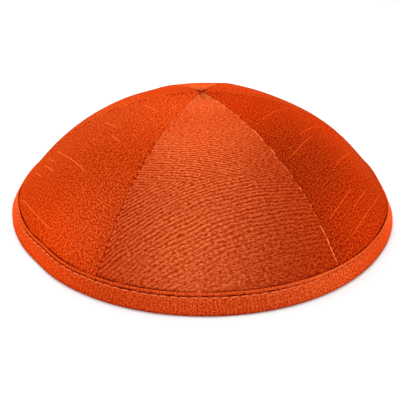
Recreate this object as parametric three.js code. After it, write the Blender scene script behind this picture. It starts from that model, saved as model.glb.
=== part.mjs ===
// A kippah: a domed skullcap of six equal silk panels, sewn edge to edge, whose lower edge is
// wrapped in a folded binding of the same cloth. It stands on its rim with the head hollow open below.
// Millimetres, +Z up. The origin is the middle of the rim, on the surface that the cap stands on.
// The front panel faces -Y, and angles round the cap start there and grow towards +X.
import * as THREE from 'three';
import { mergeVertices } from 'three/addons/utils/BufferGeometryUtils.js';

// The cap as a whole
const RIM_RADIUS = 86.9;
const CROWN_HEIGHT = 45.7;
const CLEARANCE = 0.3;
const SAME_POINT = 1e-4;

// The binding: a folded strip that leans in as it goes up
const BINDING_HEIGHT = 6.0;
const BINDING_TOP_RADIUS = 82.4;
const BINDING_LEAF = 1.0;
const BINDING_FOLD_ROUND = 0.35;
const BINDING_HEEL_ROUND = 1.1;
const BINDING_FLOOR_UNDER_PANELS = 1.2;
const ROUND_STEPS = 2;

// The crown: six panels of stiffened silk
const PANEL_WALL = 1.2;
const PANEL_TIP_RADIUS = 0.9;
const PANEL_STEPS_ACROSS = 10;
const PANEL_STEPS_UP = 15;
const TUCK_STEPS = 1;

// How the crown's curve leaves the binding and how it reaches the top
const CURVE_AT_BINDING = { inward: 9.6, upward: 12.4 };
const CURVE_AT_TOP = { outward: 46.6, drop: 0.7 };

// The seams pull the cloth outwards and leave the panels flatter between them:
// a share of the radius, at the rim and near the top
const SEAM_PULL_AT_RIM = 0.002;
const SEAM_PULL_AT_TOP = 0.0106;

// The soft top leans by this much from the middle of the rim
const TOP_LEAN = { x: -1.2, y: -3.9 };

const PANELS = [
  { place: 'front', degrees: 0 },
  { place: 'front_right', degrees: 60 },
  { place: 'back_right', degrees: 120 },
  { place: 'back', degrees: 180 },
  { place: 'back_left', degrees: 240 },
  { place: 'front_left', degrees: 300 },
];
const PANEL_ANGLE = ( 2 * Math.PI ) / PANELS.length;

const silk = { color: 0xd2521f, roughness: 0.55, metalness: 0 };
const bindingSilk = { color: 0xdd5a26, roughness: 0.55, metalness: 0 };

// Places in the binding's section are given as a depth in from its outer face
// and a length up along that face, and turned into a radius and a height here.
const lean = Math.atan2( RIM_RADIUS - BINDING_TOP_RADIUS, BINDING_HEIGHT );
const bindingWidth = BINDING_HEIGHT / Math.cos( lean );
const panelDepth = BINDING_LEAF + CLEARANCE;
const innerLeafDepth = panelDepth + PANEL_WALL + CLEARANCE;
const bindingDepth = innerLeafDepth + BINDING_LEAF;

function sectionPoint( depth, along ) {

  const radius = RIM_RADIUS - along * Math.sin( lean ) - depth * Math.cos( lean );
  const height = along * Math.cos( lean ) - depth * Math.sin( lean );
  return new THREE.Vector2( radius, height );

}

function alongAtFloor( depth ) {

  return depth * Math.tan( lean );

}

const slotBottom = alongAtFloor( innerLeafDepth ) + BINDING_FLOOR_UNDER_PANELS;

// Moves a point of a round cap to where the cloth has it: out at the seams, in at the middles
// of the panels, and over with the leaning top.
function pullAndLean( angle, radius, height ) {

  const climb = ( height - BINDING_HEIGHT ) / ( CROWN_HEIGHT - BINDING_HEIGHT );
  const share = THREE.MathUtils.clamp( climb, 0, 1 );
  const grown = Math.sin( share * Math.PI / 2 );
  const pull = THREE.MathUtils.lerp( SEAM_PULL_AT_RIM, SEAM_PULL_AT_TOP, grown );
  const wave = - Math.cos( PANELS.length * angle );
  const pulled = radius * ( 1 + pull * wave );
  const leaning = share * share;
  return new THREE.Vector3(
    pulled * Math.sin( angle ) + TOP_LEAN.x * leaning,
    - pulled * Math.cos( angle ) + TOP_LEAN.y * leaning,
    height,
  );

}

// The panel's outer line from its edge inside the binding to its tip, with the direction
// that the wall faces at each step.
function panelStations() {

  const hem = sectionPoint( panelDepth, slotBottom + CLEARANCE );
  const foot = sectionPoint( panelDepth, bindingWidth );
  const tip = new THREE.Vector2( PANEL_TIP_RADIUS, CROWN_HEIGHT );
  const leave = new THREE.Vector2( foot.x - CURVE_AT_BINDING.inward, foot.y + CURVE_AT_BINDING.upward );
  const reach = new THREE.Vector2( tip.x + CURVE_AT_TOP.outward, tip.y - CURVE_AT_TOP.drop );
  const tucked = new THREE.LineCurve( hem, foot ).getSpacedPoints( TUCK_STEPS );
  const dome = new THREE.CubicBezierCurve( foot, leave, reach, tip ).getSpacedPoints( PANEL_STEPS_UP );
  const line = [ ...tucked, ...dome.slice( 1 ) ];

  return line.map( ( point, i ) => {

    const before = line[ Math.max( i - 1, 0 ) ];
    const after = line[ Math.min( i + 1, line.length - 1 ) ];
    const direction = after.clone().sub( before ).normalize();
    return { point, facing: new THREE.Vector2( direction.y, - direction.x ) };

  } );

}

// One panel: a flat blank of cloth, bent into a gore of the dome.
// The blank's X runs across the panel, its Y up it, and its Z through the cloth.
function panelGeometry( middleAngle, stations ) {

  const steps = stations.length - 1;
  const blank = new THREE.BoxGeometry( 2, 1, 1, PANEL_STEPS_ACROSS, steps, 1 );
  const spots = blank.getAttribute( 'position' );

  for ( let i = 0; i < spots.count; i ++ ) {

    const across = spots.getX( i );
    const { point, facing } = stations[ Math.round( ( spots.getY( i ) + 0.5 ) * steps ) ];
    const depth = spots.getZ( i ) > 0 ? 0 : PANEL_WALL;
    const radius = point.x - depth * facing.x;
    const height = point.y - depth * facing.y;
    const halfAngle = PANEL_ANGLE / 2 - Math.asin( CLEARANCE / 2 / radius );
    const place = pullAndLean( middleAngle + across * halfAngle, radius, height );
    spots.setXYZ( i, place.x, place.y, place.z );

  }

  return closed( blank );

}

// The binding: a ring with a slot in its top that holds the lower edge of the panels,
// and a flat foot that the cap stands on.
function bindingGeometry() {

  const outline = new THREE.Path();
  const top = bindingWidth;
  const fold = BINDING_FOLD_ROUND;
  const heel = BINDING_HEEL_ROUND;

  outline.moveTo( heel, alongAtFloor( heel ) );
  outline.quadraticCurveTo( 0, 0, 0, heel );
  foldOver( outline, 0, BINDING_LEAF, top, fold );
  outline.lineTo( BINDING_LEAF, slotBottom );
  outline.lineTo( innerLeafDepth, slotBottom );
  foldOver( outline, innerLeafDepth, bindingDepth, top, fold );
  outline.lineTo( bindingDepth, alongAtFloor( bindingDepth ) + fold );
  outline.lineTo( bindingDepth - fold, alongAtFloor( bindingDepth - fold ) );
  outline.closePath();

  const section = outline.getPoints( ROUND_STEPS ).map( ( spot ) => sectionPoint( spot.x, spot.y ) );
  const ring = new THREE.LatheGeometry( section, PANELS.length * PANEL_STEPS_ACROSS );
  ring.rotateX( Math.PI / 2 );
  const spots = ring.getAttribute( 'position' );

  for ( let i = 0; i < spots.count; i ++ ) {

    const radius = Math.hypot( spots.getX( i ), spots.getY( i ) );
    const angle = Math.atan2( spots.getX( i ), - spots.getY( i ) );
    const place = pullAndLean( angle, radius, spots.getZ( i ) );
    spots.setXYZ( i, place.x, place.y, place.z );

  }

  return closed( ring );

}

// The rounded upper edge of one leaf of the binding.
function foldOver( outline, nearDepth, farDepth, top, round ) {

  outline.lineTo( nearDepth, top - round );
  outline.quadraticCurveTo( nearDepth, top, nearDepth + round, top );
  outline.lineTo( farDepth - round, top );
  outline.quadraticCurveTo( farDepth, top, farDepth, top - round );

}

// Joins the corners that the geometry classes leave split, so that the surface is closed.
function closed( geometry ) {

  geometry.deleteAttribute( 'normal' );
  geometry.deleteAttribute( 'uv' );
  const joined = mergeVertices( geometry, SAME_POINT );
  joined.computeVertexNormals();
  return joined;

}

function piece( name, geometry, look ) {

  const mesh = new THREE.Mesh( geometry, new THREE.MeshStandardMaterial( look ) );
  mesh.name = name;
  return mesh;

}

const kippah = new THREE.Group();
const stations = panelStations();

for ( const { place, degrees } of PANELS ) {

  const geometry = panelGeometry( THREE.MathUtils.degToRad( degrees ), stations );
  kippah.add( piece( `crown_panel_${ place }`, geometry, silk ) );

}

kippah.add( piece( 'rim_binding', bindingGeometry(), bindingSilk ) );

export default kippah;
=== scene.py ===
import math
from collections import namedtuple

import bmesh
import bpy
from mathutils import Euler, Matrix, Vector, noise
from mathutils.geometry import interpolate_bezier


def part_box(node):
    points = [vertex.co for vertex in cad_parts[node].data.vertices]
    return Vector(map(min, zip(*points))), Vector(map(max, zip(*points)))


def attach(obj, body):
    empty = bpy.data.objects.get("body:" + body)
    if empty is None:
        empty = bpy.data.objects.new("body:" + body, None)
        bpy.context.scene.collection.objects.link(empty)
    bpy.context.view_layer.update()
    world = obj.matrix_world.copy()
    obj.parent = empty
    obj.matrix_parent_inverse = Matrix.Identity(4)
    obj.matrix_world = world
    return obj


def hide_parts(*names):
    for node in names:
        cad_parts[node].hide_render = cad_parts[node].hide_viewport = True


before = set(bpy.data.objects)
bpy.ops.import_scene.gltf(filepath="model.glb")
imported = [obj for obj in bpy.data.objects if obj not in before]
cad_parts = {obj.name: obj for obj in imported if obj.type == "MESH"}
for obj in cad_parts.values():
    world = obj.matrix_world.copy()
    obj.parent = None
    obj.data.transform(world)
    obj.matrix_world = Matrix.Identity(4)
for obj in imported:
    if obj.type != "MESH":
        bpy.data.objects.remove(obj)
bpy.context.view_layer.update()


# The camera
# It looks down at the front panel from close by and a little from the left, as in the photograph.
# The lens and the sensor are in millimetres. Other lengths in this file are in metres.
LENS_LENGTH = 38.39
SENSOR_WIDTH = 36
CAMERA_PLACE = (-0.01586, -0.1802, 0.1005)
CAMERA_DOWN = math.radians(31.30)
CAMERA_LEFT_TO_RIGHT = math.radians(-4.59)
CAMERA_ROLL = 0.0056

lens = bpy.data.cameras.new("camera")
lens.sensor_width = SENSOR_WIDTH
lens.lens = LENS_LENGTH
lens.clip_start = 0.01
camera = bpy.data.objects.new("camera", lens)
aim = Euler((math.pi / 2 - CAMERA_DOWN, 0, CAMERA_LEFT_TO_RIGHT)).to_matrix().to_4x4()
camera.matrix_world = Matrix.Translation(CAMERA_PLACE) @ aim @ Matrix.Rotation(CAMERA_ROLL, 4, "Z")
bpy.context.scene.collection.objects.link(camera)
bpy.context.scene.camera = camera


# The crown: six panels
# Each is a wedge of slubbed silk on a thin stiff backing. They are sewn edge to edge, with the allowances
# turned inside, so the seams sink in between folded edges. Their lower edges go down into the binding.

# The silk's colour where it is plain, and where painted sheen turns it paler
Dye = namedtuple("Dye", "plain bloom")
# One silk: the panels' colours differ partly as painted sheen and shade, for how light catches each weave
FRONT_DYE_AND_LIGHT = Dye((0.43, 0.030, 0.0020), (0.665, 0.096, 0.0205))
LEFT_DYE_AND_LIGHT = Dye((0.508, 0.038, 0.0022), (0.60, 0.072, 0.0120))
RIGHT_DYE_AND_LIGHT = Dye((0.345, 0.0240, 0.0020), (0.60, 0.038, 0.0024))
BACK_LEFT_DYE_AND_LIGHT = Dye((0.51, 0.044, 0.0040), (0.68, 0.080, 0.0100))
BACK_DYE_AND_LIGHT = Dye((0.52, 0.042, 0.0040), (0.66, 0.090, 0.0165))

# How a panel's edge looks along its seam: how high its lip is, how strong the painted highlight along its
# fold is, how deep its groove and its needle holes are, which also sets the painted shade in them, how far
# the tip is drawn in, and how far from the top the holes start
Edge = namedtuple("Edge", "lip shine groove holes tip sewn_from")
DOTTED = Edge(0.00010, 0.35, 0.08, 0.8, 0.0034, 0.034)
UNDER_DOTTED = Edge(0.00004, 0, 0.08, 0.8, 0.0034, 0.034)
CRISP = Edge(0.00011, 1.5, 0.08, 0.35, 0, 0)
UNDER_CRISP = Edge(0.00005, 0.3, 0.16, 0.35, 0, 0)
SOFT = Edge(0.00016, 0.9, 0.12, 0.9, 0, 0)
UNDER_SOFT = Edge(0.00006, 0.1, 0.12, 0.9, 0, 0)
TIGHT = Edge(0.00012, 0.3, 0.25, 0.5, 0.0052, 0)

# The panels: the angle of each round the cap, the slope of its threads, its colour with painted sheen and
# shade, its two edges as seen from outside, how its ribs crowd, slant, bend and show, how coarse and long
# its grain is, and how far its tip rolls up
Panel = namedtuple("Panel", "place degrees grain dye left right rib_rate rib_tilt rib_bend rib_share coarse "
                            "grain_length tip_roll")
PANELS = [
    Panel("front", 0, -0.30, FRONT_DYE_AND_LIGHT, DOTTED, CRISP, 45, 210, 1100, 0.97, 1.05, 0.0013, 0.00025),
    Panel("front_right", 60, 0.16, RIGHT_DYE_AND_LIGHT, UNDER_CRISP, SOFT, 42, -130, 0, 0.4, 2.5, 0.0010, 0),
    Panel("back_right", 120, -0.10, BACK_DYE_AND_LIGHT, UNDER_SOFT, TIGHT, 50, 60, 300, 0.5, 1.3, 0.0010, 0),
    Panel("back", 180, -0.24, BACK_DYE_AND_LIGHT, TIGHT, TIGHT, 46, 180, 700, 0.8, 1.1, 0.0014, 0.00020),
    Panel("back_left", 240, -0.12, BACK_LEFT_DYE_AND_LIGHT, TIGHT, SOFT, 48, -80, 300, 0.5, 1.3, 0.0010, 0),
    Panel("front_left", 300, -0.06, LEFT_DYE_AND_LIGHT, UNDER_SOFT, UNDER_DOTTED, 54, 50, 0, 0.3, 1.6, 0.0010, 0),
]
HALF_PANEL_DEGREES = 180 / len(PANELS)
HALF_PANEL = math.radians(HALF_PANEL_DEGREES)

# Painted sheen: where the silk is painted paler, for the sheen its cross threads catch from the lights: the
# angle round the cap in degrees, how far from the top, how far it reaches, and how strongly it shows
Bloom = namedtuple("Bloom", "place degrees from_top reach strength")
PAINTED_SHEENS = [
    Bloom("front", 0, 0.006, 0.0125, 1.1),
    Bloom("front", -3, 0.032, 0.030, 0.15),
    Bloom("front", -24, 0.038, 0.016, 0.35),
    Bloom("front", 24, 0.032, 0.014, 0.3),
    Bloom("front", -6, 0.066, 0.030, 0.72),
    Bloom("front", -8, 0.091, 0.022, 0.5),
    Bloom("front_left", -36, 0.018, 0.018, 0.4),
    Bloom("front_left", -35, 0.075, 0.020, 0.4),
    Bloom("front_left", -84, 0.064, 0.022, 0.32),
    Bloom("front_left", -80, 0.036, 0.020, 0.4),
    Bloom("front_right", 90, 0.050, 0.024, 0.85),
    Bloom("front_right", 70, 0.076, 0.018, 0.4),
    Bloom("front_right", 45, 0.090, 0.024, 0.35),
    Bloom("front_right", 34, 0.018, 0.022, 0.5),
    Bloom("back", 180, 0.008, 0.018, 1.0),
    Bloom("back_left", 265, 0.043, 0.014, 0.5),
]

# The binding's outer face leans straight in from the rim to its top, and the crown goes on from there
BINDING_TOP = 0.006
RIM_RADIUS = 0.0869
BINDING_TOP_RADIUS = 0.0824
LEAN = math.atan2(RIM_RADIUS - BINDING_TOP_RADIUS, BINDING_TOP)
BINDING_WIDTH = BINDING_TOP / math.cos(LEAN)

# The crown's cloth: how far behind the binding's face it lies, its wall, the seam allowances turned inside,
# and how far it goes down into the binding
CROWN_DEPTH = 0.0005
CROWN_WALL = 0.0012
ALLOWANCE_WIDTH = 0.0057
ALLOWANCE_THICKNESS = 0.0004
ALLOWANCE_SHOWS = 0.00006
TUCKED_IN = 0.0036

# How the crown's curve leaves the binding, and how it reaches the top
LEAVES_BINDING = Vector((-0.0107, 0, 0.0112))
REACHES_TOP = Vector((0.0475, 0, -0.0007))
CURVE_STEPS = 400

# The top leans over, so the panels that meet there do so a little off the middle of the rim
_, front_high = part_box("crown_panel_front")
back_low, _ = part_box("crown_panel_back")
_, left_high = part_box("crown_panel_front_left")
right_low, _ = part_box("crown_panel_front_right")
CROWN_TOP = front_high.z
TOP_LEAN = Vector(((left_high.x + right_low.x) / 2, (front_high.y + back_low.y) / 2, 0))

# What share of the distance from the middle the seams bring the cloth out by, at the rim and at the top
SEAM_PULL_AT_RIM = 0.002
SEAM_PULL_AT_TOP = 0.0106

# The soft edge isn't quite round: it has settled in or out from the plain dome, all round and at the sides
Settled = namedtuple("Settled", "all_round right left")
SETTLED_AT_RIM = Settled(-0.00019, -0.00066, -0.00017)
SETTLED_AT_BINDING_TOP = Settled(-0.00080, 0.00146, 0.00104)
SETTLED_TO = 0.012
SIDES_FORWARD = 0.286

# Places where the soft cloth has sunk in or swelled out: the angle round the cap in degrees, the height,
# how far it reaches, and how far it moves the cloth out
SoftPlace = namedtuple("SoftPlace", "degrees height reach out")
SOFT_PLACES = [
    SoftPlace(-80, 0.006, 0.009, 0.00054),
    SoftPlace(-70, 0.012, 0.016, 0.00042),
    SoftPlace(-50, 0.006, 0.009, -0.00091),
    SoftPlace(60, 0.012, 0.016, 0.00063),
    SoftPlace(80, 0.006, 0.016, -0.00124),
    SoftPlace(100, 0.030, 0.016, 0.00031),
    SoftPlace(150, 0.044, 0.020, 0.00055),
    SoftPlace(-150, 0.038, 0.012, -0.00073),
]

# Shares that vary from place to place, between a least and a most
Varied = namedtuple("Varied", "usual varies least most")

# The stitches of the seams: their length, how far they lie off even places and how often that changes in a
# metre, and how hard they hold, with how much that differs from one to the next
SEAM_STITCH = 0.0024
SEAM_STITCH_OFF = 0.0012
SEAM_STITCH_CHANGES = 300
SEAM_STITCH_HOLDS = Varied(0.85, 0.9, 0.2, 1)
SEAM_STITCH_STEP = 0.37

# The seams: the groove that the sewing draws the cloth into, which also holds painted shade, the lips and
# the painted highlight along the fold beside it, broken up in patches, how the cloth puckers, and how the
# line strays
SEAM_DEPTH = 0.00036
SEAM_ROUND = 0.00030
HOLE_WIDENS = 0.6
TIP_WIDENS = 0.9
TIP_FADE = 0.0016
SEWN_FADE = 0.008
LIP_PLACE = 0.0008
LIP_WIDTH = 0.0006
FOLD_PLACE = 0.00045
FOLD_WIDTH = 0.00024
HIGHLIGHT_INTO_SHEEN = 0.7
FOLD_BROKEN = 0.7
HIGHLIGHT_PATCHY = Varied(0.35, 3, 0, 1.4)
PAINT_PATCH_LENGTH = 0.0018
PUCKER = 0.00007
PUCKER_REACH = 0.0022
STRAY = 0.0005
STRAY_LENGTH = 0.004
STRAY_REACH = 0.0025
STRAY_RADIUS = 0.004

# Where the six tips meet, where the crown goes into the binding, and how soft the cloth is between
TIP_DIMPLE = 0.0005
TIP_DIMPLE_WIDTH = 0.0010
TIP_ROLL_PLACE = 0.002
TIP_ROLL_WIDTH = 0.0014
HEM_CREASE = 0.00022
HEM_CREASE_WIDTH = 0.00030
HEM_CREASE_PRESSED = Varied(0.5, 3, 0, 1)
HEM_CREASE_LENGTH = 0.0032
SOFTNESS = 0.00022
SOFT_PATCH = 0.028
SOFT_FROM_SEAM = 0.006

# The blank's rows, and its columns: close together beside the seams, by their distance from the edge
PANEL_ROWS = 272
EDGE_COLUMNS = [0, 0.0001, 0.0002, 0.0003, 0.0004, 0.00052, 0.00068, 0.0009, 0.0012, 0.0016, 0.0022, 0.0031,
                0.0043, 0.0055, 0.0059, 0.0076]
EDGE_SHARE = 1.6
MIDDLE_COLUMNS = 12
PANEL_COLUMNS = 2 * len(EDGE_COLUMNS) + MIDDLE_COLUMNS - 1
SHARP_FOLD = math.radians(50)
SAME_POINT = 1e-6

Station = namedtuple("Station", "point facing from_top")


def binding_point(depth, along):
    """A place in the binding's section, by its depth in from the outer face and its way up along it."""
    radius = RIM_RADIUS - along * math.sin(LEAN) - depth * math.cos(LEAN)
    return Vector((radius, 0, along * math.cos(LEAN) - depth * math.sin(LEAN)))


def crown_line():
    """Stations up the crown's outer line, from the hem in the binding to the top, with the way they face."""
    hem = binding_point(CROWN_DEPTH, BINDING_WIDTH - TUCKED_IN)
    foot = binding_point(CROWN_DEPTH, BINDING_WIDTH)
    top = Vector((0, 0, CROWN_TOP))
    curve = [hem] + interpolate_bezier(foot, foot + LEAVES_BINDING, top + REACHES_TOP, top, CURVE_STEPS)
    lengths = [0]
    for before, after in zip(curve, curve[1:]):
        lengths.append(lengths[-1] + (after - before).length)
    line = []
    step = 1
    for row in range(PANEL_ROWS + 1):
        length = lengths[-1] * row / PANEL_ROWS
        while step < len(lengths) - 1 and lengths[step] < length:
            step += 1
        share = (length - lengths[step - 1]) / (lengths[step] - lengths[step - 1])
        point = curve[step - 1].lerp(curve[step], share)
        way = (curve[step] - curve[step - 1]).normalized()
        line.append(Station(point, Vector((way.z, 0, -way.x)), lengths[-1] - length))
    return line


def settled(angle, height):
    """How far the soft edge has moved out from the plain dome."""
    wide = max(math.sin(abs(math.remainder(angle, 2 * math.pi)) + SIDES_FORWARD), 0) ** 2
    rightness = (1 + math.sin(angle)) / 2
    rim, top = (part.all_round + wide * (part.left + (part.right - part.left) * rightness)
                for part in (SETTLED_AT_RIM, SETTLED_AT_BINDING_TOP))
    up = min(max(height / BINDING_TOP, 0), 1)
    past = min(max((height - BINDING_TOP) / SETTLED_TO, 0), 1)
    return (rim + (top - rim) * up) * (1 - past * past * (3 - 2 * past))


def round_place(angle, radius, height):
    """A place by its angle round the cap from the front, its distance from the middle, and its height."""
    return Vector((radius * math.sin(angle), -radius * math.cos(angle), height))


def pull_and_lean(angle, radius, height):
    """The seams pull the cloth out and leave the panels flatter, it is soft, and its top leans over."""
    plain = round_place(angle, radius, height)
    swell = sum(out * bell((plain - middle).length, reach) for middle, reach, out in soft_places)
    out_way = round_place(angle, radius / RIM_RADIUS ** 2, height / CROWN_TOP ** 2).normalized()
    climb = (height - BINDING_TOP) / (CROWN_TOP - BINDING_TOP)
    share = min(max(climb, 0), 1)
    pull = SEAM_PULL_AT_RIM + (SEAM_PULL_AT_TOP - SEAM_PULL_AT_RIM) * math.sin(share * math.pi / 2)
    pulled = radius * (1 - pull * math.cos(len(PANELS) * angle)) + settled(angle, height)
    return round_place(angle, pulled, height) + TOP_LEAN * share * share + swell * out_way


def bell(distance, width):
    return math.exp(-(distance / width) ** 2)


def varied(share, place):
    """A share as it is at a place."""
    return min(max(share.usual + share.varies * noise.noise(place), share.least), share.most)


def across(column, half_width):
    """How far a column of the blank is from the panel's middle line."""
    columns = len(EDGE_COLUMNS)
    squeeze = min(1, half_width / (EDGE_COLUMNS[-1] * EDGE_SHARE))
    if column >= PANEL_COLUMNS / 2:
        return -across(PANEL_COLUMNS - column, half_width)
    if column < columns:
        return EDGE_COLUMNS[column] * squeeze - half_width
    inner = half_width - EDGE_COLUMNS[-1] * squeeze
    return inner * (2 * (column - columns + 1) / (MIDDLE_COLUMNS + 1) - 1)


def seam_stitch(from_top, seam):
    """Up to 1 at each stitch of a seam, and 0 half-way to the next. The stitches aren't quite even."""
    off = SEAM_STITCH_OFF * noise.noise(Vector((from_top * SEAM_STITCH_CHANGES, seam, 0)))
    count = (from_top + off) / SEAM_STITCH
    holds = varied(SEAM_STITCH_HOLDS, Vector((round(count) * SEAM_STITCH_STEP, seam, 0.5)))
    return (0.5 + 0.5 * math.cos(2 * math.pi * count)) ** 3 * holds


def drawn_in(from_seam, from_top, stitch, edge):
    """How hard the sewing draws the cloth in, from 0 to 1: most at each stitch, and where the tips meet."""
    tip = min(max((edge.tip - from_top) / TIP_FADE, 0), 1)
    sewn = edge.holes * stitch * min(max((from_top - edge.sewn_from) / SEWN_FADE, 0), 1)
    held = edge.groove + (1 - edge.groove) * sewn
    width = SEAM_ROUND * (1 + HOLE_WIDENS * sewn + TIP_WIDENS * tip)
    return bell(from_seam, width) * (held * (1 - tip) + tip)


def relief(from_seam, stitch, drawn, edge):
    """The height of the cloth's face above the plain dome, beside a seam."""
    lip = edge.lip * bell(from_seam - LIP_PLACE, LIP_WIDTH)
    beside = math.exp(-from_seam / PUCKER_REACH) * min(1, from_seam / SEAM_ROUND)
    pucker = PUCKER * (2 * stitch - 1) * beside
    backed = ALLOWANCE_SHOWS if from_seam < ALLOWANCE_WIDTH else 0
    return lip - pucker + backed - SEAM_DEPTH * drawn


def painted_sheen_spots(painted_sheens, line):
    """The middles of the painted sheen patches on the dome, each with its patch."""
    spots = []
    for bloom in painted_sheens:
        point = min(line, key=lambda station: abs(station.from_top - bloom.from_top)).point
        spots.append((pull_and_lean(math.radians(bloom.degrees), point.x, point.z), bloom))
    return spots


def painted_sheen_at(place, spots):
    """How much painted sheen the silk has at a place."""
    return sum(bloom.strength * bell((place - spot).length, bloom.reach) for spot, bloom in spots)


def on_cloth(side, down, grain):
    """A place on the cloth map, whose U runs along the threads, from a place on the panel."""
    slant = math.hypot(1, grain)
    return (side + grain * down) / slant, (down - grain * side) / slant


def silk_layers(bm):
    """The layers of painted shade, painted highlight and painted sheen on the silk, and its cloth map."""
    painted_shade, fold, pale = (bm.verts.layers.float.new(name) for name in ("painted_shade", "fold", "bloom"))
    return painted_shade, fold, pale, bm.loops.layers.uv.new("cloth")


def smooth_but_for_folds(bm):
    """Shades the cloth smooth, apart from where it is folded sharply."""
    for face in bm.faces:
        face.smooth = True
    for edge in bm.edges:
        edge.smooth = edge.calc_face_angle(0) < SHARP_FOLD


def mesh_from(bm, name):
    mesh = bpy.data.meshes.new(name)
    bm.to_mesh(mesh)
    bm.free()
    return mesh


def panel_mesh(panel, line):
    """A flat blank of cloth, given its thickness and then bent over the dome."""
    bm = bmesh.new()
    bmesh.ops.create_grid(bm, x_segments=PANEL_COLUMNS, y_segments=PANEL_ROWS, size=1)
    bmesh.ops.solidify(bm, geom=bm.faces[:], thickness=CROWN_WALL)
    painted_shade, fold, pale, cloth = silk_layers(bm)
    spots = painted_sheen_spots([bloom for bloom in PAINTED_SHEENS if bloom.place == panel.place], line)
    middle = math.radians(panel.degrees)
    foot = line[0].from_top - TUCKED_IN
    flat = {}
    for vert in bm.verts:
        column = round((vert.co.x + 1) / 2 * PANEL_COLUMNS)
        row = round((vert.co.y + 1) / 2 * PANEL_ROWS)
        inside = vert.co.z < -CROWN_WALL / 2
        point, facing, from_top = line[row]
        half_width = HALF_PANEL * point.x
        side = across(column, half_width)
        from_seam = half_width - abs(side)
        angle = middle + (side / point.x if point.x > 0 else 0)
        edge = panel.right if side > 0 else panel.left
        seam = (panel.degrees + math.copysign(HALF_PANEL_DEGREES, side)) % 360
        if point.x > STRAY_RADIUS:
            stray = STRAY * noise.noise(Vector((from_top / STRAY_LENGTH, seam, 0.5)))
            angle += stray * bell(from_seam, STRAY_REACH) / point.x
        plain = pull_and_lean(angle, point.x, point.z)
        # How much painted sheen turns the silk paler here
        vert[pale] = painted_sheen_at(plain, spots)
        soft = SOFTNESS * noise.noise(plain / SOFT_PATCH)
        height = soft * min(1, from_seam / SOFT_FROM_SEAM) - TIP_DIMPLE * bell(point.x, TIP_DIMPLE_WIDTH)
        if inside:
            height -= CROWN_WALL + (ALLOWANCE_THICKNESS if from_seam < ALLOWANCE_WIDTH else 0)
        else:
            stitch = seam_stitch(from_top, seam)
            drawn = drawn_in(from_seam, from_top, stitch, edge)
            pressed = varied(HEM_CREASE_PRESSED, plain / HEM_CREASE_LENGTH)
            crease = pressed * bell(foot - from_top, HEM_CREASE_WIDTH)
            height += relief(from_seam, stitch, drawn, edge) - HEM_CREASE * crease
            height += panel.tip_roll * bell(from_top - TIP_ROLL_PLACE, TIP_ROLL_WIDTH)
            # Painted shade in the seam's groove, needle holes and tip, and in the hem crease
            vert[painted_shade] = max(drawn, crease)
            # A painted highlight along the fold beside the seam, which also adds painted sheen
            shine = edge.shine * varied(HIGHLIGHT_PATCHY, plain / PAINT_PATCH_LENGTH) * (1 - FOLD_BROKEN * stitch)
            vert[fold] = shine * bell(from_seam - FOLD_PLACE, FOLD_WIDTH)
            vert[pale] += HIGHLIGHT_INTO_SHEEN * vert[fold]
        moved = point + facing * height
        vert.co = pull_and_lean(angle, max(moved.x, 0), moved.z)
        turn = angle - middle
        flat[vert] = on_cloth(side, from_top - point.x * turn * turn / 2, panel.grain)
    for face in bm.faces:
        for corner in face.loops:
            corner[cloth].uv = flat[corner.vert]
    bmesh.ops.remove_doubles(bm, verts=bm.verts[:], dist=SAME_POINT)
    bm.normal_update()
    smooth_but_for_folds(bm)
    return mesh_from(bm, f"silk_panel_{panel.place}")


class Shade:
    """A socket of a finish. Sums on it add Math nodes, and node() adds a node of any other kind."""

    def __init__(self, tree, socket=None):
        self.tree = tree
        self.socket = socket

    def node(self, kind, settings=None, inputs=None, output=0):
        made = self.tree.nodes.new(kind)
        for name, value in (settings or {}).items():
            setattr(made, name, value)
        for name, value in (inputs or {}).items():
            if isinstance(value, Shade):
                self.tree.links.new(value.socket, made.inputs[name])
            else:
                made.inputs[name].default_value = value
        return Shade(self.tree, made.outputs[output])

    def math(self, operation, *terms):
        return self.node("ShaderNodeMath", {"operation": operation}, dict(enumerate(terms)))

    def __add__(self, other):
        return self.math("ADD", self, other)

    def __radd__(self, other):
        return self.math("ADD", other, self)

    def __sub__(self, other):
        return self.math("SUBTRACT", self, other)

    def __rsub__(self, other):
        return self.math("SUBTRACT", other, self)

    def __mul__(self, other):
        return self.math("MULTIPLY", self, other)

    def __rmul__(self, other):
        return self.math("MULTIPLY", other, self)

    def __truediv__(self, other):
        return self.math("DIVIDE", self, other)

    def __abs__(self):
        return self.math("ABSOLUTE", self)

    def sine(self):
        return self.math("SINE", self)

    def log(self):
        return self.math("LOGARITHM", self, math.e)

    def kept(self):
        """The value kept between 0 and 1."""
        return self.node("ShaderNodeClamp", {}, {"Value": self})

    def feeds(self, surface, name):
        self.tree.links.new(self.socket, surface.inputs[name])


# What the dye is multiplied by between the threads and on top of them, and how hard the colour turns from
# one to the other
DEEP_TINT = (0.75, 0.25, 0.02)
BRIGHT_TINT = (1.38, 2.12, 2.75)
TINT_TURN = 1.4

# How much darker the painted shade makes the silk, and how far the weave stands out
PAINTED_SHADE_DARKENS = 0.66
THREAD_RELIEF = 0.00007

# Patches in the silk: how long they are along the threads and how wide across them, how fine their detail
# is, and the level and contrast that cut them out
Patches = namedtuple("Patches", "length width detail level contrast")
BROKEN_RIBS = Patches(0.0024, 0.0011, 1.0, 0.34, 3.5)
FAINT_RIBS = Patches(0.020, 0.014, 2.0, 0.30, 2.4)
STREAKS = Patches(0.016, 0.0003, 1.0, 0.66, 8)

# How much of the ribs' strength the patches take away, and how far and over what size the ribs drift
BROKEN_BY = 0.45
FAINT_BY = 0.35
DRIFT = 1.3
DRIFT_LENGTH = 0.009
DRIFT_WIDTH = 0.006

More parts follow.
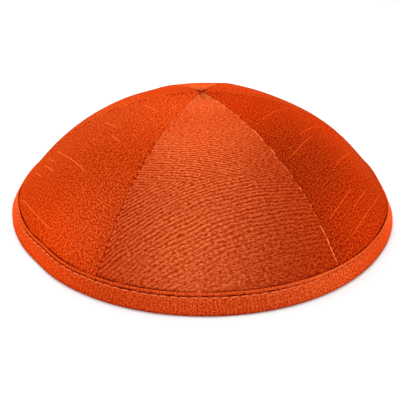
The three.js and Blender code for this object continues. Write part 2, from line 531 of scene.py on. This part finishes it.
# The grain's coarse yarn, its finer threads, and the slubs
YARN_WIDTH = 0.0007
THREAD_WIDTH = 0.00042
THREAD_SHORTER = 0.9
SLUB_HALF = 0.00022
SLUB_END = 0.003

# How much each part of the weave adds to the silk's brightness, height and roughness
Weave = namedtuple("Weave", "plain ribs grain threads streaks slubs fold")
# The last part is a painted highlight along the seams' folds and the binding's crests
BRIGHTNESS = Weave(0.5, 0.56, 0.85, 1.2, 0.6, 2.4, 0.8)
HEIGHT = Weave(0, 0.5, 0.8, 0, 0.3, 0.9, 0)
ROUGHNESS = Weave(0.58, -0.06, 0.2, 0, 0, 0, 0)


def silk(name, dye, rib_wave, rib_share, coarse, grain_length, slubs=()):
    """Slubbed silk. Its slubs run along U of the cloth map, which is in metres of flat cloth, and rib_wave
    gives the cross ribs at a place on the map. Its grain is coarse, and grain_length long along the ribs."""
    material = bpy.data.materials.new(name)
    material.use_nodes = True
    tree = material.node_tree
    surface = tree.nodes["Principled BSDF"]
    start = Shade(tree)
    weave = start.node("ShaderNodeUVMap", {"uv_map": "cloth"})
    side = start.node("ShaderNodeSeparateXYZ", {}, {"Vector": weave}, "X")
    down = start.node("ShaderNodeSeparateXYZ", {}, {"Vector": weave}, "Y")

    def mottle(length, width, detail):
        stretch = {0: weave, 1: (1 / length, 1 / width, 1)}
        place = start.node("ShaderNodeVectorMath", {"operation": "MULTIPLY"}, stretch)
        sizes = {"Vector": place, "Scale": 1.0, "Detail": detail}
        return start.node("ShaderNodeTexNoise", {"noise_dimensions": "2D"}, sizes)

    def patches(kind):
        return ((mottle(kind.length, kind.width, kind.detail) - kind.level) * kind.contrast).kept()

    def from_mesh(name):
        return start.node("ShaderNodeAttribute", {"attribute_name": name}, {}, "Fac")

    def blend(shares):
        """The sum of the weave's parts, each by its share."""
        return sum(share * part for share, part in zip(shares, parts) if share)

    unbroken = 1 - BROKEN_BY + BROKEN_BY * patches(BROKEN_RIBS)
    clear = 1 - FAINT_BY + FAINT_BY * patches(FAINT_RIBS)
    drift = DRIFT * mottle(DRIFT_LENGTH, DRIFT_WIDTH, 2.0)
    ribs = rib_wave(side, down, drift) * unbroken * clear * rib_share
    grain = (mottle(grain_length, YARN_WIDTH, 1.0) - 0.5) * coarse
    threads = (mottle(THREAD_SHORTER * grain_length, THREAD_WIDTH, 0.0) - 0.5) * coarse
    slub = 0
    for begin, end, place in slubs:
        length = ((side - begin) / SLUB_END).kept() * ((end - side) / SLUB_END).kept()
        thread = (1 - abs(down - place) / SLUB_HALF).kept()
        slub += length * thread
    # Painted shade from the mesh darkens the seams, the hem crease and the rim, and deepens their colour
    painted_shade = from_mesh("painted_shade")
    parts = Weave(1, ribs, grain, threads, patches(STREAKS), slub, from_mesh("fold"))
    # Painted sheen from the mesh, like the slubs, turns the colour towards the paler one
    dyes_and_light = {"Factor": from_mesh("bloom") + slub, 6: (*dye.plain, 1), 7: (*dye.bloom, 1)}
    dyed_and_lit = start.node("ShaderNodeMix", {"data_type": "RGBA"}, dyes_and_light, 2)
    bare = (blend(BRIGHTNESS) * (1 - painted_shade)).kept()
    tints = {"Factor": bare.math("POWER", bare, TINT_TURN), 6: (*DEEP_TINT, 1), 7: (*BRIGHT_TINT, 1)}
    tint = start.node("ShaderNodeMix", {"data_type": "RGBA"}, tints, 2)
    woven = start.node("ShaderNodeVectorMath", {"operation": "MULTIPLY"}, {0: dyed_and_lit, 1: tint})
    darkened = {0: woven, "Scale": 1 - PAINTED_SHADE_DARKENS * painted_shade}
    colour = start.node("ShaderNodeVectorMath", {"operation": "SCALE"}, darkened)
    raised = start.node("ShaderNodeBump", {}, {"Height": blend(HEIGHT), "Distance": THREAD_RELIEF})
    colour.feeds(surface, "Base Color")
    blend(ROUGHNESS).feeds(surface, "Roughness")
    raised.feeds(surface, "Normal")
    surface.inputs["Metallic"].default_value = 0.3
    surface.inputs["Specular IOR Level"].default_value = 0
    surface.inputs["Specular Tint"].default_value = (1.0, 0.35, 0.15, 1)
    surface.inputs["Sheen Weight"].default_value = 0.16
    surface.inputs["Sheen Roughness"].default_value = 0.38
    surface.inputs["Sheen Tint"].default_value = (1.0, 0.17, 0.03, 1)
    return material


# Slubs that show on each panel: the angles from its middle line where one starts and ends, in degrees,
# and how far it is from the top at each end
Slub = namedtuple("Slub", "place starts ends from_top_at_start from_top_at_end")
SLUBS = [
    Slub("front_right", -26.7, 3.6, 0.0513, 0.0509),
    Slub("front_right", -17.5, 31.2, 0.0324, 0.0385),
    Slub("front_right", -26.9, -7.5, 0.0775, 0.0758),
    Slub("front_right", -21.9, 5.8, 0.0868, 0.0892),
    Slub("front_right", -4.8, 16.3, 0.0652, 0.0700),
    Slub("front_right", -14.8, -2.3, 0.0793, 0.0819),
    Slub("front_right", -6.4, 18.2, 0.0465, 0.0506),
    Slub("front_left", -23.6, 7.4, 0.0684, 0.0639),
    Slub("front_left", -7.2, 4.8, 0.0631, 0.0631),
    Slub("front_left", -0.6, 11.2, 0.0457, 0.0448),
    Slub("front_left", 11.2, 17.9, 0.0400, 0.0400),
    Slub("front_left", -13.9, 9.1, 0.0916, 0.0884),
    Slub("front_left", -20.8, -9.0, 0.0764, 0.0730),
    Slub("front_left", -23.1, 10.7, 0.0266, 0.0240),
    Slub("front_left", -19.4, -3.2, 0.0437, 0.0409),
    Slub("front_left", -23.9, -14.3, 0.0743, 0.0711),
    Slub("front_left", -23.6, -13.8, 0.0835, 0.0793),
]


def slub_on_cloth(slub, grain, line):
    """Where a slub lies on the flat cloth: its start and end along the rib, and its place down the cloth."""
    ends = []
    for degrees, from_top in ((slub.starts, slub.from_top_at_start), (slub.ends, slub.from_top_at_end)):
        point = min(line, key=lambda station: abs(station.from_top - from_top)).point
        turn = math.radians(degrees)
        ends.append(on_cloth(point.x * turn, from_top - point.x * turn * turn / 2, grain))
    (begin, first), (end, last) = sorted(ends)
    return begin, end, (first + last) / 2


# How far from the top the ribs turn to slant the other way, and where they start and end fading, which
# they do sooner on the right
RIBS_TURN = 0.0560
RIBS_TURN_FADE = 0.0035
RIBS_FADE = 0.066
RIBS_FADED = 0.090
RIBS_FADE_RIGHT = 0.2
RIBS_FADE_BY = 0.8
UPPER_RIBS_TILT = 1.1


def watered_ribs(panel):
    """The ribs crowd together towards the panel's tip, and slant more on one side than on the other.
    They slant the other way above a place, and fade out towards the rim."""
    slant = math.hypot(1, panel.grain)

    def wave(side, down, drift):
        aside = (side - panel.grain * down) / slant
        below = (down + panel.grain * side) / slant
        crowd = panel.rib_rate * below.log() + drift
        lower = (crowd + aside * (panel.rib_tilt - panel.rib_bend * aside)) * (2 * math.pi)
        upper = (crowd - aside * (UPPER_RIBS_TILT * panel.rib_tilt)) * (2 * math.pi)
        turned = ((RIBS_TURN - below) / RIBS_TURN_FADE).kept()
        faded = ((below + RIBS_FADE_RIGHT * aside - RIBS_FADE) / (RIBS_FADED - RIBS_FADE)).kept()
        return (lower.sine() * (1 - turned) + upper.sine() * turned) * (1 - RIBS_FADE_BY * faded)

    return wave


def flat_cut(line):
    """The width, length and area of the flat wedge that a panel was cut to, with its seam allowances."""
    length = line[0].from_top
    widths = [2 * (HALF_PANEL * station.point.x + ALLOWANCE_WIDTH) for station in line]
    return widths[0], length, sum(widths) * length / len(widths)


def finished_piece(name, mesh, material):
    piece = bpy.data.objects.new(name, mesh)
    mesh.materials.append(material)
    bpy.context.scene.collection.objects.link(piece)
    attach(piece, "root")
    return piece


line = crown_line()
outer_line = [binding_point(0, 0)] + [station.point for station in line]
soft_places = []
for spot in SOFT_PLACES:
    radius = min(outer_line, key=lambda point: abs(point.z - spot.height)).x
    soft_places.append((round_place(math.radians(spot.degrees), radius, spot.height), spot.reach, spot.out))
cut_width, cut_length, cut_area = flat_cut(line)
for panel in PANELS:
    slubs = [slub_on_cloth(slub, panel.grain, line) for slub in SLUBS if slub.place == panel.place]
    ribs = watered_ribs(panel)
    material = silk(f"silk_{panel.place}", panel.dye, ribs, panel.rib_share, panel.coarse,
                    panel.grain_length, slubs)
    name = f"silk_panel_{panel.place}"
    piece = finished_piece(name, panel_mesh(panel, line), material)
    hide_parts(f"crown_panel_{panel.place}")


# The binding
# A strip of the same silk, folded lengthwise over the panels' lower edges and stitched through close to
# its top edge. It is puffed out below the stitching, and the cap stands on its fold.
# The binding's colour where plain and where painted sheen turns it paler
BINDING_DYE_AND_LIGHT = Dye((0.55, 0.047, 0.0050), (0.84, 0.106, 0.0200))
# Painted sheen on the binding, strongest at its left and right sides
BINDING_PAINTED_SHEENS = [
    Bloom("binding", -90, 0.097, 0.030, 1.0),
    Bloom("binding", -6, 0.097, 0.026, 0.24),
    Bloom("binding", 24, 0.097, 0.022, 0.6),
    Bloom("binding", 72, 0.097, 0.026, 1.0),
]
BINDING_RIB = 0.0013
BINDING_RIB_SHARE = 0.3
BINDING_COARSE = 1.15
BINDING_GRAIN = 0.0006
STITCHES = 162
STEPS_PER_STITCH = 8
STITCH_LINE = BINDING_WIDTH - 0.0014
GROOVE_DEPTH = 0.00032
GROOVE_ABOVE = 0.00028
GROOVE_BELOW = 0.00050
LEAF = 0.00042
INNER_LEAF = 0.0018
INNER_LEAF_STARTS = INNER_LEAF + 0.0005
INNER_LEAF_LOWER = 0.0002
BELOW_PANELS = 0.0003
INNER_LEAF_ON_CLOTH = 0.02
BINDING_DEPTH = 0.0031
TOP_ROLL = 0.00010
OUTER_PUFF = 0.00020
TURN_LENGTH = 2 * math.pi * RIM_RADIUS

# How the sewing dimples the strip, how its face wavers and its line strays, and how often round the cap
DIMPLE = 0.00014
DIMPLE_WIDTH = 0.0006
WAVER = 0.00014
WAVER_WIDTH = 0.003
WAVER_UP = 60
STRAYS = 0.00009
CHANGES_ROUND = 9

# The painted shade in the groove and at the rim, and the painted highlights on the crests above and below
# the stitches, each by its way up the strip, its width and its strength
GROOVE_SHADE = 0.00028
GROOVE_SHADE_PATCHY = Varied(0.65, 1.2, 0.25, 1)
HEEL_SHADE = 0.0007
Crest = namedtuple("Crest", "up width shine")
TOP_CREST = Crest(BINDING_WIDTH - 0.0003, 0.0004, 0.25)
LOWER_CREST = Crest(STITCH_LINE - 0.0005, 0.0003, 0.6)

# Between which angles the sewing bites, in degrees, over how many it eases off, and how it bites elsewhere
# The bite also sets how strongly the painted shade and highlights along the stitching show
BITE_BETWEEN = (-72, 26)
BITE_EASES = 14
BITE_ELSEWHERE = 0.25

# The corners of the strip's section: how deep behind its outer face, how far up along it, and how rounded
Corner = namedtuple("Corner", "depth along rounding")


def floor_along(depth):
    return depth * math.tan(LEAN)


def strays(angle):
    """How far the sewing strays from its line, round the cap."""
    return STRAYS * noise.noise(Vector((math.sin(angle), math.cos(angle), 0)) * CHANGES_ROUND)


def bite(angle):
    """How hard the sewing bites into the cloth, from 0 to 1: hardest at the front and left of it."""
    first, last = BITE_BETWEEN
    degrees = math.degrees(angle)
    return min(max(min(degrees - first, last - degrees) / BITE_EASES, BITE_ELSEWHERE), 1)


def crest_highlight(along, crest):
    return crest.shine * bell(along - crest.up, crest.width)


def go_round(bm, times):
    """Repeats what is in the mesh, evenly, round the cap."""
    made = bm.verts[:] + bm.edges[:] + bm.faces[:]
    bmesh.ops.spin(bm, geom=made, cent=(0, 0, 0), axis=(0, 0, 1), angle=2 * math.pi * (times - 1) / times,
                   steps=times - 1, use_duplicate=True)


def binding_mesh():
    """The strip's section, turned once round the cap."""
    panel_edge = BINDING_WIDTH - TUCKED_IN - BELOW_PANELS
    inner_top = BINDING_WIDTH - INNER_LEAF_LOWER
    corners = [
        Corner(0, 0, 0.0011),
        Corner(-OUTER_PUFF, STITCH_LINE * 0.55, 0.0014),
        Corner(-0.00004, STITCH_LINE - GROOVE_BELOW, 0.00025),
        Corner(GROOVE_DEPTH, STITCH_LINE + 0.00006, 0.00010),
        Corner(-0.00002, STITCH_LINE + GROOVE_ABOVE, 0.00010),
        Corner(-TOP_ROLL, (STITCH_LINE + BINDING_WIDTH) / 2, 0.0003),
        Corner(0, BINDING_WIDTH, 0.00022),
        Corner(LEAF, BINDING_WIDTH, 0.00012),
        Corner(LEAF, panel_edge, 0),
        Corner(INNER_LEAF, panel_edge, 0),
        Corner(INNER_LEAF, inner_top, 0.0003),
        Corner(BINDING_DEPTH, inner_top, 0.0005),
        Corner(BINDING_DEPTH, STITCH_LINE + GROOVE_BELOW, 0.0003),
        Corner(BINDING_DEPTH - GROOVE_DEPTH, STITCH_LINE, 0.0002),
        Corner(BINDING_DEPTH, STITCH_LINE - GROOVE_BELOW, 0.0004),
        Corner(BINDING_DEPTH + 0.0002, STITCH_LINE * 0.7, 0.001),
        Corner(BINDING_DEPTH, floor_along(BINDING_DEPTH), 0.0009),
    ]
    bm = bmesh.new()
    rim = [bm.verts.new(binding_point(corner.depth, corner.along)) for corner in corners]
    for before, after in zip(rim, rim[1:] + rim[:1]):
        bm.edges.new((before, after))
    for vert, corner in zip(rim, corners):
        if corner.rounding:
            bmesh.ops.bevel(bm, geom=[vert], offset=corner.rounding, segments=3, profile=0.5,
                            affect="VERTICES", material=-1)
    section = bm.verts[:] + bm.edges[:]
    bmesh.ops.spin(bm, geom=section, cent=(0, 0, 0), axis=(0, 0, 1), angle=2 * HALF_PANEL,
                   steps=STITCHES * STEPS_PER_STITCH // len(PANELS))
    go_round(bm, len(PANELS))
    bmesh.ops.remove_doubles(bm, verts=bm.verts[:], dist=SAME_POINT)
    painted_shade, fold, pale, cloth = silk_layers(bm)
    spots = painted_sheen_spots(BINDING_PAINTED_SHEENS, line)
    flat = {}
    for vert in bm.verts:
        radius = math.hypot(vert.co.x, vert.co.y)
        angle = math.atan2(vert.co.x, -vert.co.y)
        out = RIM_RADIUS - radius
        along = out * math.sin(LEAN) + vert.co.z * math.cos(LEAN)
        depth = out * math.cos(LEAN) - vert.co.z * math.sin(LEAN)
        hole = 0.5 + 0.5 * math.cos(angle * STITCHES)
        near = bell(along - STITCH_LINE, DIMPLE_WIDTH)
        round_and_up = Vector((math.sin(angle), math.cos(angle), along * WAVER_UP)) * CHANGES_ROUND
        waver = WAVER * noise.noise(round_and_up) * bell(along - STITCH_LINE / 2, WAVER_WIDTH)
        push = waver - DIMPLE * hole * near
        outside = depth < CROWN_DEPTH
        if outside:
            # Painted shade in the groove above the stitches, and along the heel at the rim
            groove = bell(along - STITCH_LINE - GROOVE_SHADE, GROOVE_SHADE)
            line_shade = groove * bite(angle) * varied(GROOVE_SHADE_PATCHY, vert.co / PAINT_PATCH_LENGTH)
            vert[painted_shade] = max(line_shade, bell(along, HEEL_SHADE))
            # Painted highlights on the roll at the top and on the lip below the stitches
            lower_highlight = crest_highlight(along, LOWER_CREST) * (1 - hole) * bite(angle)
            vert[fold] = crest_highlight(along, TOP_CREST) + lower_highlight
            moved = binding_point(depth - push, along + strays(angle) * near)
        elif depth > INNER_LEAF_STARTS:
            moved = binding_point(depth + push, along)
        else:
            moved = binding_point(depth, along)
        vert.co = pull_and_lean(angle, moved.x, max(moved.z, 0))
        # How much painted sheen turns the binding paler here
        vert[pale] = painted_sheen_at(vert.co, spots)
        flat[vert] = (depth + along if outside else along + INNER_LEAF_ON_CLOTH, angle * RIM_RADIUS)
    for face in bm.faces:
        ways = [flat[corner.vert][1] for corner in face.loops]
        for corner in face.loops:
            up, way = flat[corner.vert]
            if max(ways) - min(ways) > TURN_LENGTH / 2 and way < 0:
                way += TURN_LENGTH
            corner[cloth].uv = (up, way)
    bmesh.ops.recalc_face_normals(bm, faces=bm.faces[:])
    smooth_but_for_folds(bm)
    return mesh_from(bm, "silk_binding")


def binding_ribs(up, way, drift):
    return ((way / BINDING_RIB + drift) * (2 * math.pi)).sine()


binding_silk = silk("silk_binding", BINDING_DYE_AND_LIGHT, binding_ribs, BINDING_RIB_SHARE, BINDING_COARSE,
                    BINDING_GRAIN)
binding = finished_piece("silk_binding", binding_mesh(), binding_silk)
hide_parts("rim_binding")


# The topstitching
# One row of machine stitches in orange thread, through the binding and the panels' lower edges.
# Each stitch shows as a short thread between two needle holes, outside and inside. The stitches differ in
# length, and sink into the cloth where the sewing doesn't bite.
THREAD = 0.00024
THREAD_DEPTH = 0.00003
BELOW_STITCH_LINE = 0.00018
STITCH_LENGTH = 0.0028
LENGTH_USUAL = 0.8
LENGTH_VARIES = 1.2
LENGTH_MOST = 1.05
THREAD_SINKS = 0.00026
SINKS_BY_CHANCE = 0.5
CHANCE_STEP = 1.7
THREAD_DYE = (0.92, 0.160, 0.042)

bm = bmesh.new()
for depth in (THREAD_DEPTH, BINDING_DEPTH - THREAD_DEPTH):
    middle = binding_point(depth, STITCH_LINE - BELOW_STITCH_LINE)
    between_holes = Matrix.Rotation(math.pi / STITCHES, 4, "Z") @ Matrix.Translation(middle)
    shape = Matrix.Diagonal((THREAD, STITCH_LENGTH / 2, THREAD, 1))
    bmesh.ops.create_uvsphere(bm, u_segments=8, v_segments=6, radius=1, matrix=between_holes @ shape)
go_round(bm, STITCHES)
for vert in bm.verts:
    angle = math.atan2(vert.co.x, -vert.co.y)
    stitch = math.floor(angle / (2 * math.pi / STITCHES))
    middle = (stitch + 0.5) * 2 * math.pi / STITCHES
    chance = noise.noise(Vector((stitch * CHANCE_STEP, 0.5, 0.3)))
    angle = middle + (angle - middle) * min(LENGTH_USUAL + LENGTH_VARIES * chance, LENGTH_MOST)
    radius = math.hypot(vert.co.x, vert.co.y)
    sunk = THREAD_SINKS * min(max(1 - bite(middle) - SINKS_BY_CHANCE * chance, 0), 1)
    radius += sunk if radius < BINDING_TOP_RADIUS else -sunk
    height = vert.co.z + strays(angle) * math.cos(LEAN)
    vert.co = pull_and_lean(angle, radius, height)
for face in bm.faces:
    face.smooth = True
threads = mesh_from(bm, "topstitching")

thread_finish = bpy.data.materials.new("sewing_thread")
thread_finish.use_nodes = True
thread_start = Shade(thread_finish.node_tree)
spot = thread_start.node("ShaderNodeTexCoord", {}, {}, "Object")
twist = thread_start.node("ShaderNodeTexNoise", {}, {"Vector": spot, "Scale": 2200.0, "Detail": 2.0})
thread_colour = thread_start.node("ShaderNodeVectorMath", {"operation": "SCALE"},
                                  {0: THREAD_DYE, "Scale": 0.75 + 0.5 * twist})
thread_surface = thread_finish.node_tree.nodes["Principled BSDF"]
thread_colour.feeds(thread_surface, "Base Color")
thread_surface.inputs["Roughness"].default_value = 0.5
thread_surface.inputs["Specular IOR Level"].default_value = 0
topstitching = finished_piece("topstitching", threads, thread_finish)


# The floor and the light
# A plain white floor under a wide soft light from above, with weaker ones from the front, the back and
# the sides, and a pale tent all round.
FLOOR_PAINT = (0.93, 0.93, 0.93, 1)
FLOOR_HALF = 3
TENT_LIGHT = 0.45

bm = bmesh.new()
bmesh.ops.create_grid(bm, x_segments=1, y_segments=1, size=FLOOR_HALF)
floor_sheet = mesh_from(bm, "floor")
floor = bpy.data.objects.new("floor", floor_sheet)
bpy.context.scene.collection.objects.link(floor)
floor_paint = bpy.data.materials.new("pale_floor")
floor_paint.use_nodes = True
paint = floor_paint.node_tree.nodes["Principled BSDF"]
paint.inputs["Base Color"].default_value = FLOOR_PAINT
paint.inputs["Roughness"].default_value = 0.9
paint.inputs["Specular IOR Level"].default_value = 0
floor_sheet.materials.append(floor_paint)

Softbox = namedtuple("Softbox", "name place width height power")
SOFTBOXES = [
    Softbox("top", (0, 0.45, 0.8), 0.6, 0.6, 5.7),
    Softbox("back", (0, 0.9, 0.3), 0.5, 0.5, 1.95),
    Softbox("front", (-0.1, -0.78, 0.54), 0.3, 0.3, 1.80),
    Softbox("left", (-0.95, 0, 0.18), 0.35, 0.35, 4.0),
    Softbox("right", (0.95, 0, 0.18), 0.35, 0.35, 3.4),
]
for box in SOFTBOXES:
    light = bpy.data.lights.new(box.name, "AREA")
    light.shape = "RECTANGLE"
    light.size = box.width
    light.size_y = box.height
    light.energy = box.power
    lamp = bpy.data.objects.new(f"softbox_{box.name}", light)
    lamp.location = box.place
    lamp.rotation_euler = Vector(box.place).to_track_quat("Z", "Y").to_euler()
    bpy.context.scene.collection.objects.link(lamp)

tent = bpy.data.worlds.new("tent")
tent.use_nodes = True
glow = tent.node_tree.nodes["Background"]
glow.inputs["Color"].default_value = (1, 1, 1, 1)
glow.inputs["Strength"].default_value = TENT_LIGHT
bpy.context.scene.world = tent
bpy.context.scene.view_settings.view_transform = "Standard"
